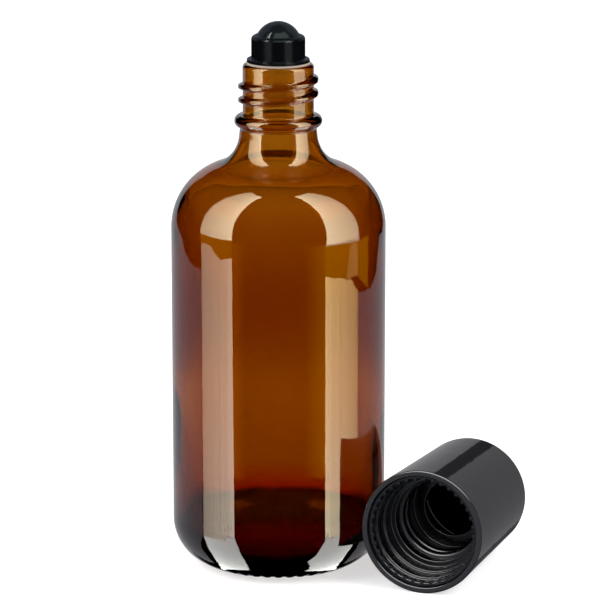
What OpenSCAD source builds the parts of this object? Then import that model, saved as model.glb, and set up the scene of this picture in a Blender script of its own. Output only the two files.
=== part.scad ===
// Roll on bottle: round glass bottle with a screw neck, a press-in roller fitment
// with its ball, and a tall screw cap that lies beside it.
// The bottle's axis is Z and its base stands on Z = 0. The cap lies along Y.

/* [Bottle] */
// Outside diameter of the bottle's wall
body_d = 47; // [42:0.5:56]
// Height of the glass from the base to the lip
bottle_h = 112; // [100:1:150]
// Thickness of the glass in the wall and the shoulder
glass_wall = 2.2; // [1.6:0.1:2.8]
// Thickness of the glass floor
floor_t = 4; // [3:0.25:6]
// Outside radius of the heel, between wall and base
heel_r = 10; // [7:0.5:11]
// Inside radius where the wall meets the glass floor
inner_heel_r = 7; // [5:0.5:8]
// Outside radius of the shoulder
shoulder_r = 14.6; // [12:0.2:15]
// Width of the ring that the bottle stands on, inside the heel
bearing_w = 1.3; // [0.8:0.1:2.4]
// Depth of the hollow under the base
hollow_depth = 1.4; // [0.8:0.1:2.4]
// Number of grooves that knurl the bearing ring
knurl_count = 44; // [24:1:60]
// Depth of each knurl groove
knurl_depth = 0.35; // [0.2:0.05:0.5]

/* [Neck] */
// Outside diameter of the neck below the neck ring
neck_d = 17.3; // [16.6:0.1:18.4]
// Straight length of the neck below the neck ring
neck_len = 1.7; // [1:0.1:5]
// Radius of the flare from neck to shoulder
flare_r = 6.9; // [5:0.1:8]
// Outside diameter of the neck ring
ring_d = 19.2; // [18.6:0.1:20]
// Height of the neck ring
ring_h = 2.7; // [2.2:0.1:3]
// Outside diameter of the threaded part, below its crest
finish_d = 15.54; // [15:0.02:16]
// Length of the threaded part, from the lip to the neck ring
finish_len = 11.2; // [10.6:0.1:13]
// Diameter of the hole through the neck
bore_d = 11.4; // [11:0.05:11.8]
// Rounding of the lip's outer edge
lip_r = 0.8; // [0.4:0.1:1.2]
// Chamfer of the lip's inner edge
lip_chamfer = 0.4; // [0.2:0.05:0.6]

/* [Thread] */
// Outside diameter over the thread's crest
thread_d = 17.5; // [17:0.05:18]
// Rise of the thread in one turn
thread_pitch = 3; // [2.6:0.1:3.2]
// Number of turns on the neck
thread_turns = 1.9; // [1.5:0.1:2.1]
// Distance from the lip to the middle of the ridge at its upper end
thread_drop = 2.9; // [2.4:0.1:3.2]
// Width of the ridge at its foot
thread_foot_w = 1.9; // [1.5:0.1:2.2]
// Width of the ridge at its crest
thread_crest_w = 0.6; // [0.4:0.05:0.9]
// Direction of the upper end of the neck thread, in degrees from +X
thread_end_a = 90; // [0:5:355]

/* [Roller] */
// Diameter of the ball
ball_d = 10.2; // [9.8:0.05:10.4]
// Height of the ball's centre above the lip
ball_rise = 4.1; // [3.8:0.05:4.4]
// Running gap between ball and socket
ball_gap = 0.05; // [0.03:0.01:0.08]
// Outside diameter of the housing round the ball
housing_d = 11.72; // [11.6:0.02:12]
// Height of the housing above the lip
housing_h = 6.2; // [5.9:0.05:6.5]
// Rounding of the housing's top edge
housing_edge_r = 0.9; // [0.4:0.05:0.9]
// Diameter of the flange that covers the lip
flange_d = 13.64; // [13:0.02:14.2]
// Thickness of the flange
flange_t = 0.7; // [0.5:0.05:0.9]
// Rounding of the flange's top edge
flange_edge_r = 0.2; // [0.1:0.05:0.35]
// Diameter of the spigot below the flange
spigot_d = 9.2; // [8.8:0.05:9.4]
// Length of the spigot below the lip
spigot_len = 1.9; // [1.7:0.05:2.4]
// Diameter of the hole that feeds the ball, inside the ring that it sits on
feed_d = 6.4; // [5:0.1:7]

/* [Sealing sleeve] */
// Length of the sleeve in the neck
sleeve_len = 8; // [6:0.25:9]
// Diameter of the sleeve's flange, between the lip and the fitment
sleeve_flange_d = 13.9; // [13.2:0.05:14.2]
// Thickness of the sleeve's flange
sleeve_flange_t = 0.4; // [0.3:0.05:0.5]
// How far the sleeve's body stands off the neck's bore
sleeve_relief = 0.2; // [0.1:0.02:0.3]
// Number of sealing ribs round the sleeve
rib_count = 3; // [2:1:4]
// Height of each sealing rib
rib_h = 0.7; // [0.5:0.05:0.9]
// Chamfer that leads the sleeve into the neck
sleeve_lead = 0.5; // [0.3:0.05:0.6]

/* [Cap] */
// Outside diameter of the cap at its mouth
cap_d = 27.4; // [26.4:0.1:30]
// Length of the cap
cap_len = 37; // [35:0.5:45]
// How far the closed end is set in from the mouth's radius
cap_end_inset = 1.0; // [0.4:0.1:1.2]
// Thickness of the cap's wall
cap_wall = 1.3; // [1.0:0.05:1.5]
// Thickness of the cap's closed end
cap_end_t = 1.5; // [1.2:0.1:2]
// Rounding of the closed end's outer edge
cap_edge_r = 2; // [1:0.1:2.4]
// Rounding inside the closed end
cap_inner_r = 1.2; // [0.6:0.1:1.6]
// Rounding of the rim at the mouth
cap_rim_r = 0.4; // [0.2:0.05:0.45]
// How far below the lip the screwed-on cap reaches
cap_reach = 20.4; // [19:0.1:20.6]

/* [Cap insert] */
// How far the insert's collar sits behind the cap's rim
insert_recess = 1.0; // [0.6:0.1:1.6]
// Wall of the collar at its front
collar_wall = 0.8; // [0.6:0.05:1]
// Inward step of each ring inside the collar
collar_step = 0.6; // [0.4:0.05:0.65]
// Wall of the insert's threaded barrel
barrel_wall = 1.2; // [0.9:0.05:1.3]
// Radial gap between the neck's thread and the barrel
thread_gap = 0.3; // [0.2:0.05:0.35]
// Number of turns of the inner thread
insert_turns = 2.2; // [1.5:0.1:2.4]
// Thickness of the web that seals on the fitment's flange
web_t = 1.2; // [0.8:0.1:1.6]
// Radial gap between the housing and the hole in the web
web_gap = 0.4; // [0.3:0.05:0.6]
// Number of nibs round the mouth
nib_count = 36; // [24:1:44]
// Height of each nib, towards the axis
nib_h = 0.4; // [0.25:0.05:0.5]
// Width of each nib, round the mouth
nib_w = 0.9; // [0.6:0.05:1.1]
// Length of each nib, along the axis
nib_len = 1.1; // [0.8:0.1:1.6]

/* [Lying cap] */
// Gap between the bottle's wall and the lying cap
cap_gap = 0.6; // [0.4:0.1:20]
// Y of the cap's mouth
cap_mouth_y = -13; // [-60:1:20]

/* [Hidden] */

amber = [0.42, 0.19, 0.02, 0.75];
black = [0.05, 0.055, 0.06];
natural = [0.9, 0.88, 0.8, 0.8];
round_steps = 96;
$fn = round_steps;

// Overrun of cuts past a surface
cut = 1;
// Seat gap between pieces that are pressed together
seat = 0.02;
// How deep a ridge's foot is set into the wall that carries it
ridge_set = 0.4;
// Angle of one step along a thread, and of the fade at each of its ends
ridge_step_a = 12;
ridge_fade_a = 48;

// Radii of the bottle
body_r = body_d / 2;
inner_r = body_r - glass_wall;
neck_r = neck_d / 2;
ring_r = ring_d / 2;
finish_r = finish_d / 2;
bore_r = bore_d / 2;

// Heights along the neck, from the lip down
ring_top_z = bottle_h - finish_len;
ring_mid_z = ring_top_z - ring_h / 2;
flare_z = ring_top_z - ring_h - neck_len;
ring_round_x = ring_r - ring_h / 2;
ring_fillet_r = ring_round_x - finish_r;

// The shoulder's arc and the flare's arc touch where the line between their centres crosses both
shoulder_x = body_r - shoulder_r;
flare_x = neck_r + flare_r;
arcs_dx = flare_x - shoulder_x;
arcs_dz = sqrt(pow(shoulder_r + flare_r, 2) - pow(arcs_dx, 2));
shoulder_z = flare_z - arcs_dz;

// The hollow under the base is part of a sphere
hollow_r = body_r - heel_r - bearing_w;
hollow_sphere_r = (pow(hollow_r, 2) + pow(hollow_depth, 2)) / (2 * hollow_depth);

// Roller fitment
ball_r = ball_d / 2;
ball_z = bottle_h + ball_rise;
socket_r = ball_r + ball_gap;
housing_r = housing_d / 2;
housing_top_z = bottle_h + housing_h;
flange_r = flange_d / 2;
flange_low_z = bottle_h + sleeve_flange_t;
flange_top_z = flange_low_z + flange_t;
spigot_r = spigot_d / 2;

// Sealing sleeve
sleeve_r = bore_r - sleeve_relief;
sleeve_bore_r = spigot_r + seat;
rib_pitch = (sleeve_len - sleeve_lead) / (rib_count + 1);

// Cap, along its own axis from the mouth at 0
cap_r = cap_d / 2;
cap_end_r = cap_r - cap_end_inset;
cap_inner_z = cap_len - cap_end_t;
cap_tilt_a = atan(cap_end_inset / cap_len);
cap_x = body_r + cap_r + cap_gap;

// Insert, along the cap's axis. The neck ring, thread and flange stand in it when it is screwed on.
barrel_r = thread_d / 2 + thread_gap;
barrel_crest_r = finish_r + thread_gap;
barrel_z = cap_reach - finish_len + collar_step;
collar_end_z = barrel_z + barrel_wall;
collar_in_r = cap_bore_r(insert_recess) - collar_wall;
ring_step_z = cap_reach - finish_len - ring_h;
web_z = cap_reach + sleeve_flange_t + flange_t;
insert_end_z = web_z + web_t;
insert_thread_z = barrel_z + thread_foot_w;

// Radius of the cap's inside at a distance from the mouth
function cap_bore_r(z) = cap_r - cap_wall - cap_end_inset * z / cap_len;

// A rectangle given by two opposite corners
module span(x0, z0, x1, z1) {
    translate([x0, z0]) square([x1 - x0, z1 - z0]);
}

// A disc for the rounds of an outline
module disc(x, z, r) {
    translate([x, z]) circle(r);
}

// A spiral ridge from a foot radius to a crest radius, which fades out at both ends.
// foot_r lies inside the wall, wall_r is the wall's surface.
function ridge_share(a, total_a) = min(1, a / ridge_fade_a, (total_a - a) / ridge_fade_a);

function ridge_ring(a, z, foot_r, tip_r, foot_w, tip_w) = [
    for (corner = [[foot_r, -foot_w], [tip_r, -tip_w], [tip_r, tip_w], [foot_r, foot_w]])
        [corner[0] * cos(a), corner[0] * sin(a), z + corner[1] / 2]
];

module ridge(foot_r, wall_r, crest_r, pitch, turns, start_a, start_z, foot_w, tip_w) {
    total_a = turns * 360;
    last = ceil(total_a / ridge_step_a);
    sunk_r = (foot_r + wall_r) / 2;
    rings = [
        for (i = [0 : last])
            let (
                a = total_a * i / last,
                share = ridge_share(a, total_a),
                tip_r = sunk_r + (crest_r - sunk_r) * share
            )
            ridge_ring(start_a + a, start_z + pitch * a / 360, foot_r, tip_r, foot_w, tip_w)
    ];
    points = [for (r = rings, p = r) p];
    corner_count = 4;
    walls = [
        for (i = [0 : last - 1], j = [0 : corner_count - 1])
            let (
                k = (j + 1) % corner_count,
                near = i * corner_count,
                far = near + corner_count
            )
            for (t = [[near + j, far + j, far + k], [near + j, far + k, near + k]]) t
    ];
    first_cap = [[0, 1, 2], [0, 2, 3]];
    end = last * corner_count;
    end_cap = [[end, end + 2, end + 1], [end, end + 3, end + 2]];
    faces = concat(first_cap, walls, end_cap);
    outward = crest_r > wall_r;
    polyhedron(points, outward ? [for (f = faces) [f[0], f[2], f[1]]] : faces);
}

// Shoulder and flare from the wall up to the neck, set in from the outside by an inset.
// The slanted side of the polygon runs from centre to centre, through the point where the arcs touch.
module shoulder_outline(inset) {
    intersection() {
        disc(shoulder_x, shoulder_z, shoulder_r - inset);
        span(0, heel_r, body_r, flare_z);
    }
    difference() {
        polygon([[0, heel_r], [shoulder_x, shoulder_z], [flare_x, flare_z], [0, flare_z]]);
        disc(flare_x, flare_z, flare_r + inset);
    }
}

// Outline of the glass from outside, without the thread
module glass_outline() {
    span(0, 0, body_r - heel_r, shoulder_z);
    disc(body_r - heel_r, heel_r, heel_r);
    span(0, heel_r, body_r, shoulder_z);
    shoulder_outline(0);
    span(0, shoulder_z, neck_r, ring_mid_z);
    disc(ring_round_x, ring_mid_z, ring_h / 2);
    difference() {
        span(0, ring_mid_z, ring_round_x, ring_top_z + ring_fillet_r);
        disc(ring_round_x, ring_top_z + ring_fillet_r, ring_fillet_r);
    }
    span(0, flare_z, finish_r, bottle_h - lip_r);
    span(0, flare_z, finish_r - lip_r, bottle_h);
    disc(finish_r - lip_r, bottle_h - lip_r, lip_r);
}

// Outline of the space inside the glass, open at the lip
module glass_space() {
    inner_heel_z = floor_t + inner_heel_r;
    inner_neck_r = neck_r - glass_wall;
    span(0, floor_t, inner_r - inner_heel_r, shoulder_z);
    disc(inner_r - inner_heel_r, inner_heel_z, inner_heel_r);
    span(0, inner_heel_z, inner_r, shoulder_z);
    shoulder_outline(glass_wall);
    polygon([
        [0, shoulder_z],
        [inner_neck_r, shoulder_z],
        [inner_neck_r, flare_z],
        [bore_r, ring_mid_z],
        [0, ring_mid_z]
    ]);
    span(0, shoulder_z, bore_r, bottle_h + cut);
    polygon([
        [0, bottle_h - lip_chamfer],
        [bore_r, bottle_h - lip_chamfer],
        [bore_r + lip_chamfer + cut, bottle_h + cut],
        [0, bottle_h + cut]
    ]);
}

// One radial groove of the knurl under the bearing ring
module knurl_groove() {
    translate([hollow_r + bearing_w / 2, 0, 0])
        rotate([0, 90, 0])
            cylinder(r = knurl_depth, h = body_r - hollow_r);
}

module glass_bottle() {
    color(amber)
        difference() {
            union() {
                rotate_extrude() glass_outline();
                ridge(
                    finish_r - ridge_set, finish_r, thread_d / 2, thread_pitch, thread_turns,
                    thread_end_a - thread_turns * 360,
                    bottle_h - thread_drop - thread_turns * thread_pitch,
                    thread_foot_w, thread_crest_w
                );
            }
            rotate_extrude() glass_space();
            translate([0, 0, hollow_depth - hollow_sphere_r]) sphere(hollow_sphere_r);
            for (i = [0 : knurl_count - 1])
                rotate([0, 0, i * 360 / knurl_count]) knurl_groove();
        }
}

// Black fitment that holds the ball: flange, housing and a short spigot in one
module roller_housing() {
    color(black)
        difference() {
            rotate_extrude() {
                span(0, bottle_h - spigot_len, spigot_r, flange_top_z);
                span(0, flange_low_z, flange_r, flange_top_z - flange_edge_r);
                span(0, flange_low_z, flange_r - flange_edge_r, flange_top_z);
                disc(flange_r - flange_edge_r, flange_top_z - flange_edge_r, flange_edge_r);
                span(0, flange_low_z, housing_r, housing_top_z - housing_edge_r);
                span(0, flange_low_z, housing_r - housing_edge_r, housing_top_z);
                disc(housing_r - housing_edge_r, housing_top_z - housing_edge_r, housing_edge_r);
            }
            translate([0, 0, ball_z]) sphere(socket_r);
            translate([0, 0, bottle_h - spigot_len - cut])
                cylinder(d = feed_d, h = cut + spigot_len + ball_rise);
        }
}

// Pale sleeve that seals the fitment in the neck. Its thin flange shows between the lip and the fitment's.
module sealing_sleeve() {
    low_z = bottle_h - sleeve_len;
    color(natural)
        difference() {
            union() {
                rotate_extrude() {
                    span(0, bottle_h, sleeve_flange_d / 2, flange_low_z);
                    polygon([
                        [0, flange_low_z],
                        [sleeve_r, flange_low_z],
                        [sleeve_r, low_z + sleeve_lead],
                        [sleeve_r - sleeve_lead, low_z],
                        [0, low_z]
                    ]);
                }
                for (i = [1 : rib_count])
                    translate([0, 0, bottle_h - i * rib_pitch - rib_h / 2])
                        cylinder(r = bore_r - seat, h = rib_h);
            }
            translate([0, 0, low_z - cut])
                cylinder(r = sleeve_bore_r, h = sleeve_len + sleeve_flange_t + 2 * cut);
        }
}

module roller_ball() {
    color(black) translate([0, 0, ball_z]) sphere(ball_r);
}

// Lays a piece of the cap down: its mouth faces -Y and its tapered side rests on Z = 0
module lay_down() {
    translate([cap_x, cap_mouth_y, cap_r * cos(cap_tilt_a)])
        rotate([-90 - cap_tilt_a, 0, 0])
            children();
}

// Plain tapered shell, open at the mouth
module cap_shell() {
    color(black)
        lay_down()
            rotate_extrude()
                difference() {
                    cap_outline();
                    cap_space();
                }
}

module cap_outline() {
    round_z = cap_len - cap_edge_r;
    difference() {
        polygon([[0, 0], [cap_r, 0], [cap_end_r, cap_len], [0, cap_len]]);
        difference() {
            span(cap_end_r - cap_edge_r, round_z, cap_r, cap_len + cut);
            disc(cap_end_r - cap_edge_r, round_z, cap_edge_r);
            span(0, 0, cap_end_r - cap_edge_r, cap_len);
        }
        difference() {
            span(cap_r - cap_rim_r, -cut, cap_r + cut, cap_rim_r);
            disc(cap_r - cap_rim_r, cap_rim_r, cap_rim_r);
        }
    }
}

module cap_space() {
    round_z = cap_inner_z - cap_inner_r;
    polygon([
        [0, -cut],
        [cap_bore_r(-cut), -cut],
        [cap_bore_r(round_z), round_z],
        [0, round_z]
    ]);
    span(0, 0, cap_bore_r(round_z) - cap_inner_r, cap_inner_z);
    disc(cap_bore_r(round_z) - cap_inner_r, round_z, cap_inner_r);
}

// Threaded insert that is pressed into the shell: stepped collar, barrel and seal web
module insert_outline() {
    difference() {
        union() {
            polygon([
                [0, insert_recess],
                [cap_bore_r(insert_recess) - seat, insert_recess],
                [cap_bore_r(collar_end_z) - seat, collar_end_z],
                [0, collar_end_z]
            ]);
            span(0, barrel_z, barrel_r + barrel_wall, insert_end_z);
        }
        span(0, insert_recess - cut, collar_in_r, ring_step_z / 2);
        span(0, insert_recess, collar_in_r - collar_step, ring_step_z);
        span(0, insert_recess, collar_in_r - 2 * collar_step, barrel_z);
        span(0, insert_recess, barrel_r, web_z);
        span(0, insert_recess, housing_r + web_gap, insert_end_z + cut);
    }
}

module nib() {
    translate([collar_in_r - nib_h, -nib_w / 2, insert_recess])
        cube([nib_h + collar_wall / 2, nib_w, nib_len]);
}

module cap_insert() {
    color(black)
        lay_down() {
            rotate_extrude() insert_outline();
            for (i = [0 : nib_count - 1])
                rotate([0, 0, i * 360 / nib_count]) nib();
            ridge(
                barrel_r + ridge_set, barrel_r, barrel_crest_r, thread_pitch, insert_turns,
                0, insert_thread_z, thread_foot_w, thread_crest_w
            );
        }
}

glass_bottle();
roller_housing();
sealing_sleeve();
roller_ball();
cap_shell();
cap_insert();
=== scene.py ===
"""Studio view of a round amber glass bottle with a roller fitment and its black screw cap lying beside it."""

import math

import bmesh
import bpy
from mathutils import Matrix, Vector, noise


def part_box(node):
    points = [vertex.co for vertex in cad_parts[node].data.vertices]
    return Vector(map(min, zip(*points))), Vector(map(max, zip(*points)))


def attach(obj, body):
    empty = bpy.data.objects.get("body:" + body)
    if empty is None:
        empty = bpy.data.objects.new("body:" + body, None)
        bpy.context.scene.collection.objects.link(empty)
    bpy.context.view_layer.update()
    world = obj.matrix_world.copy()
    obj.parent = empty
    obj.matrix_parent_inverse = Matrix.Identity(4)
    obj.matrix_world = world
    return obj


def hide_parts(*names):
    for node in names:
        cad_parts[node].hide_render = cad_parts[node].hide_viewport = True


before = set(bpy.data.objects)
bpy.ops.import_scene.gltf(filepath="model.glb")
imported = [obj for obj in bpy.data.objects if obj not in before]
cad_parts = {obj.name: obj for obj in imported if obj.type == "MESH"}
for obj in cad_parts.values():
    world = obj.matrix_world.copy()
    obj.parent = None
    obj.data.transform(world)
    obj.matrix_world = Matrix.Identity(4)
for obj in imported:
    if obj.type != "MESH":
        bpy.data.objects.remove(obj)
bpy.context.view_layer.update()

MM = 0.001

# Sizes of the glass in millimetres, as the construction has them
BODY_R = 23.5
LIP_Z = 112.0
WALL = 2.2
FLOOR_T = 4.0
HEEL_R = 10.0
INNER_HEEL_R = 7.0
SHOULDER_R = 14.6
BEARING_W = 1.3
HOLLOW_DEPTH = 1.4
NECK_R = 8.65
NECK_LEN = 1.7
FLARE_R = 6.9
NECK_TAPER = 0.3
NECK_TAPER_Z = 93.5
RING_R = 9.6
RING_H = 2.7
FINISH_R = 7.77
FINISH_LEN = 11.2
BORE_R = 6.2
BORE_OPENS = 3.5
LIP_ROUND = 0.8
LIP_CHAMFER = 0.4

# Grooves in the ring that the bottle stands on: where they start, are full and end, and how high they reach
KNURL_COUNT = 44
KNURL_DEPTH = 0.35
KNURL_WAVE_CUT = -0.2
KNURL_START = 0.3
KNURL_FULL_R = 16.6
KNURL_END_R = 19.5
KNURL_LOW_Z = 1.8
KNURL_TOP_Z = 2.0

# Inside of the blown wall: broad and small waves, a thick belt and low part, a thin shoulder, thin flanks and
# a little more at the sides under the shoulder. It is even in the neck and in the middle of the floor. Flanks
# and sides start at a share of the way from the front or back, and are full a further share on
WAVE_SIZE = 16
WAVE_SQUASH = 0.6
BROAD_WAVE = 0.22
SMALL_WAVE = 0.06
SMALL_WAVE_SHARE = 3.1
SMALL_WAVE_SHIFT = (7, 3, 5)
BELT_T = 0.85
BELT_Z = 57
BELT_SPREAD = 12
LOW_T = 0.4
LOW_TOP_Z = 48
LOW_FADE = 26
SHOULDER_THIN = 0.6
SHOULDER_Z = 78
SHOULDER_FADE = 9
FLANK_THIN = 0.45
FLANK_Z = 38
FLANK_SPREAD = 14
FLANK_START = 0.62
FLANK_RISE = 0.25
SIDE_T = 0.2
SIDE_START = 0.8
SIDE_RISE = 0.2
SIDE_LOW_Z = 64
SIDE_TOP_Z = 90
SIDE_FADE = 10
EVEN_Z = 104
EVEN_FADE = 13
EVEN_CORE_R = 6

# Screw thread of the neck
THREAD_R = 8.75
THREAD_PITCH = 3.0
THREAD_TURNS = 1.9
THREAD_DROP = 2.9
THREAD_FOOT = 1.9
THREAD_CREST = 0.6
THREAD_END_A = math.radians(90)
THREAD_FADE_A = math.radians(48)

# Roller fitment
BALL_R = 5.1
BALL_Z = 116.1
SOCKET_R = 5.15
HOUSING_R = 5.86
HOUSING_TOP_Z = 118.2
HOUSING_EDGE = 0.9
FLANGE_R = 6.82
FLANGE_LOW_Z = 112.4
FLANGE_T = 0.7
FLANGE_EDGE = 0.2
SPIGOT_R = 4.6
SPIGOT_LEN = 1.9
FEED_R = 3.2

# Cap, along its own axis from the mouth at 0
CAP_R = 13.7
CAP_END_R = 12.7
CAP_LEN = 37.0
CAP_WALL = 1.3
CAP_END_T = 1.5
CAP_EDGE = 2.0
CAP_INNER_EDGE = 1.2
CAP_RIM = 0.4
CAP_MOUTH_Y = -13.0
SEAT = 0.02

# Threaded insert in the cap
RECESS = 1.0
COLLAR_WALL = 0.8
COLLAR_STEP = 0.6
BARREL_WALL = 1.2
BARREL_R = 9.05
BARREL_Z = 9.8
RING_STEP_Z = 6.5
WEB_Z = 21.5
WEB_T = 1.2
WEB_HOLE_R = 6.26
INSERT_CREST_R = 8.07
INSERT_TURNS = 2.2
RIDGE_SINK = 0.1
RIDGE_END_SHARE = 0.15
NIB_COUNT = 36
NIB_H = 0.4
NIB_W = 0.9
NIB_LEN = 1.1
NIB_EDGE = 0.14

# Camera: its place and lens were fitted to the photograph's outline of the bottle
VIEW_TURN = math.radians(20.5)
VIEW_PITCH = math.radians(13.5)
CAMERA_SIDE = 4.708
CAMERA_BACK = 758.45
CAMERA_Z = 241.35
FOCAL_PX = 3545.0
PHOTO_PX = 600.0
SENSOR = 36.0

# Room: lengths in metres, turns in degrees from the camera
TABLE_HALF = 6.0
SOFT_LIGHT = 0.55
TABLE_LIFT = 0.55
LAMP_TURN = 70
LAMP_RISE = 35
LAMP_DISTANCE = 0.9
LAMP_SIZE = 0.6
LAMP_POWER = 5.0
PANEL_DISTANCE = 40.0
PANEL_STEP = 4.0
# So near that the neck and the shoulder see it in different directions, which keeps it off the shoulder
NEAR_PANEL_DISTANCE = 0.15

VIEW_RIGHT = Vector((math.cos(VIEW_TURN), math.sin(VIEW_TURN), 0))
VIEW_AHEAD = Vector((-math.sin(VIEW_TURN), math.cos(VIEW_TURN), 0))

# Grids that turned pieces are made on
BOTTLE_STEPS = KNURL_COUNT * 6
TURNED_STEPS = 192
ARC_STEP = math.radians(3)
FILLET_STEPS = 5
SUPPORT = 0.06
HELIX_STEPS = 72
RIDGE_STEPS = 16
BALL_SPLITS = 6


def linear(code):
    """An sRGB hex colour as linear RGBA."""
    parts = [int(code[i : i + 2], 16) / 255 for i in (1, 3, 5)]
    return [c / 12.92 if c <= 0.04045 else ((c + 0.055) / 1.055) ** 2.4 for c in parts] + [1.0]


def add(tree, kind, inputs=None, **settings):
    """Adds a node with its settings. An input given as a socket is linked, any other value is set.
    By number, a Map Range node has its value at 0, the range it reads at 1 and 2 and the range it gives at 3
    and 4. A Mix node has its share at 0, its colours at 6 and 7 and the mixed colour at output 2."""
    node = tree.nodes.new(kind)
    for name, value in settings.items():
        setattr(node, name, value)
    for key, value in (inputs or {}).items():
        if isinstance(value, bpy.types.NodeSocket):
            tree.links.new(value, node.inputs[key])
        else:
            node.inputs[key].default_value = value
    return node


def smooth(x):
    """Eases a share from 0 to 1."""
    x = min(1.0, max(0.0, x))
    return x * x * (3 - 2 * x)


# Outlines, as lists of (radius, height) in millimetres


def arc(centre, radius, start, end, step=ARC_STEP):
    """Points along an arc, both ends included. Angles are in radians from the outward direction."""
    count = max(2, math.ceil(abs(end - start) / step))
    turn = [(start + (end - start) * i / count) for i in range(count + 1)]
    return [(centre[0] + radius * math.cos(a), centre[1] + radius * math.sin(a)) for a in turn]


def line(start, end, count):
    """Points along a straight stretch, both ends included."""
    return [
        (start[0] + (end[0] - start[0]) * i / count, start[1] + (end[1] - start[1]) * i / count)
        for i in range(count + 1)
    ]


def filleted(corners, closed):
    """An outline of rounded corners (radius, height, fillet). Rows beside each fillet hold the flats."""
    points = []
    last = len(corners)
    for i, (x, z, fillet) in enumerate(corners):
        at = Vector((x, z))
        if not closed and i in (0, last - 1):
            points.append((x, z))
            continue
        before = Vector(corners[i - 1][:2]) - at
        after = Vector(corners[(i + 1) % last][:2]) - at
        half = before.angle(after) / 2
        reach = fillet / math.tan(half)
        first = at + before.normalized() * reach
        final = at + after.normalized() * reach
        middle = at + (before.normalized() + after.normalized()).normalized() * (fillet / math.sin(half))
        if before.length > reach + 2 * SUPPORT:
            points.append(tuple(first + before.normalized() * SUPPORT))
        for k in range(FILLET_STEPS + 1):
            if fillet:
                away = (first - middle).normalized().slerp((final - middle).normalized(), k / FILLET_STEPS)
                points.append(tuple(middle + away * fillet))
        if after.length > reach + 2 * SUPPORT:
            points.append(tuple(final + after.normalized() * SUPPORT))
    return points


def without_doubles(points):
    """Leaves out points that repeat the one before."""
    kept = [points[0]]
    for p in points[1:]:
        if math.dist(p, kept[-1]) > 1e-4:
            kept.append(p)
    return kept


# Meshes


def turned(name, outline, steps, closed=False, shape=None):
    """A mesh turned about Z from an outline in millimetres. shape moves a point by its row, angle and place.
    Leaving shape out keeps it round."""
    rows = without_doubles(outline)
    points = []
    rings = []
    for row, (r, z) in enumerate(rows):
        if r < 1e-6:
            rings.append([len(points)])
            points.append((0, 0, z * MM))
            continue
        rings.append(range(len(points), len(points) + steps))
        for j in range(steps):
            a = 2 * math.pi * j / steps
            pr, pz = shape(row, a, r, z) if shape else (r, z)
            points.append((pr * MM * math.cos(a), pr * MM * math.sin(a), pz * MM))
    faces = []
    pairs = zip(rings, rings[1:] + rings[:1]) if closed else zip(rings, rings[1:])
    for low, high in pairs:
        for j in range(steps):
            k = (j + 1) % steps
            if len(low) == 1:
                faces.append((low[0], high[k], high[j]))
            elif len(high) == 1:
                faces.append((low[j], low[k], high[0]))
            else:
                faces.append((low[j], low[k], high[k], high[j]))
    mesh = bpy.data.meshes.new(name)
    mesh.from_pydata(points, [], faces)
    return finished(mesh)


def finished(mesh):
    """Turns a mesh's faces outwards and shades it smooth."""
    work = bmesh.new()
    work.from_mesh(mesh)
    bmesh.ops.recalc_face_normals(work, faces=work.faces)
    if work.calc_volume(signed=True) < 0:
        bmesh.ops.reverse_faces(work, faces=work.faces)
    work.to_mesh(mesh)
    work.free()
    mesh.shade_smooth()
    return mesh


def piece(name, mesh, material, body, replaced=()):
    """Puts a mesh into the scene as a piece of the object."""
    obj = bpy.data.objects.new(name, mesh)
    bpy.context.scene.collection.objects.link(obj)
    mesh.materials.clear()
    mesh.materials.append(material)
    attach(obj, body)
    if replaced:
        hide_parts(*replaced)
    return obj


def baked(name, mesh, tree, values):
    """Runs a Geometry Nodes tree on a mesh with the named values and returns the plain mesh that it makes."""
    obj = bpy.data.objects.new(name, mesh)
    bpy.context.scene.collection.objects.link(obj)
    modifier = obj.modifiers.new(name, "NODES")
    modifier.node_group = tree
    for socket in tree.interface.items_tree:
        if socket.in_out == "INPUT" and socket.name in values:
            modifier[socket.identifier] = values[socket.name]
    bpy.context.view_layer.update()
    graph = bpy.context.evaluated_depsgraph_get()
    made = bpy.data.meshes.new_from_object(obj.evaluated_get(graph))
    made.name = name
    bpy.data.objects.remove(obj)
    return made


# Geometry Nodes trees


def new_tree(name, inputs):
    """A Geometry Nodes tree with a geometry input and output, and the named inputs as (name, kind)."""
    tree = bpy.data.node_groups.new(name, "GeometryNodeTree")
    tree.interface.new_socket("Geometry", in_out="INPUT", socket_type="NodeSocketGeometry")
    for label, kind in inputs:
        tree.interface.new_socket(label, in_out="INPUT", socket_type=kind)
    tree.interface.new_socket("Geometry", in_out="OUTPUT", socket_type="NodeSocketGeometry")
    return tree, add(tree, "NodeGroupInput"), add(tree, "NodeGroupOutput")


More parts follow.
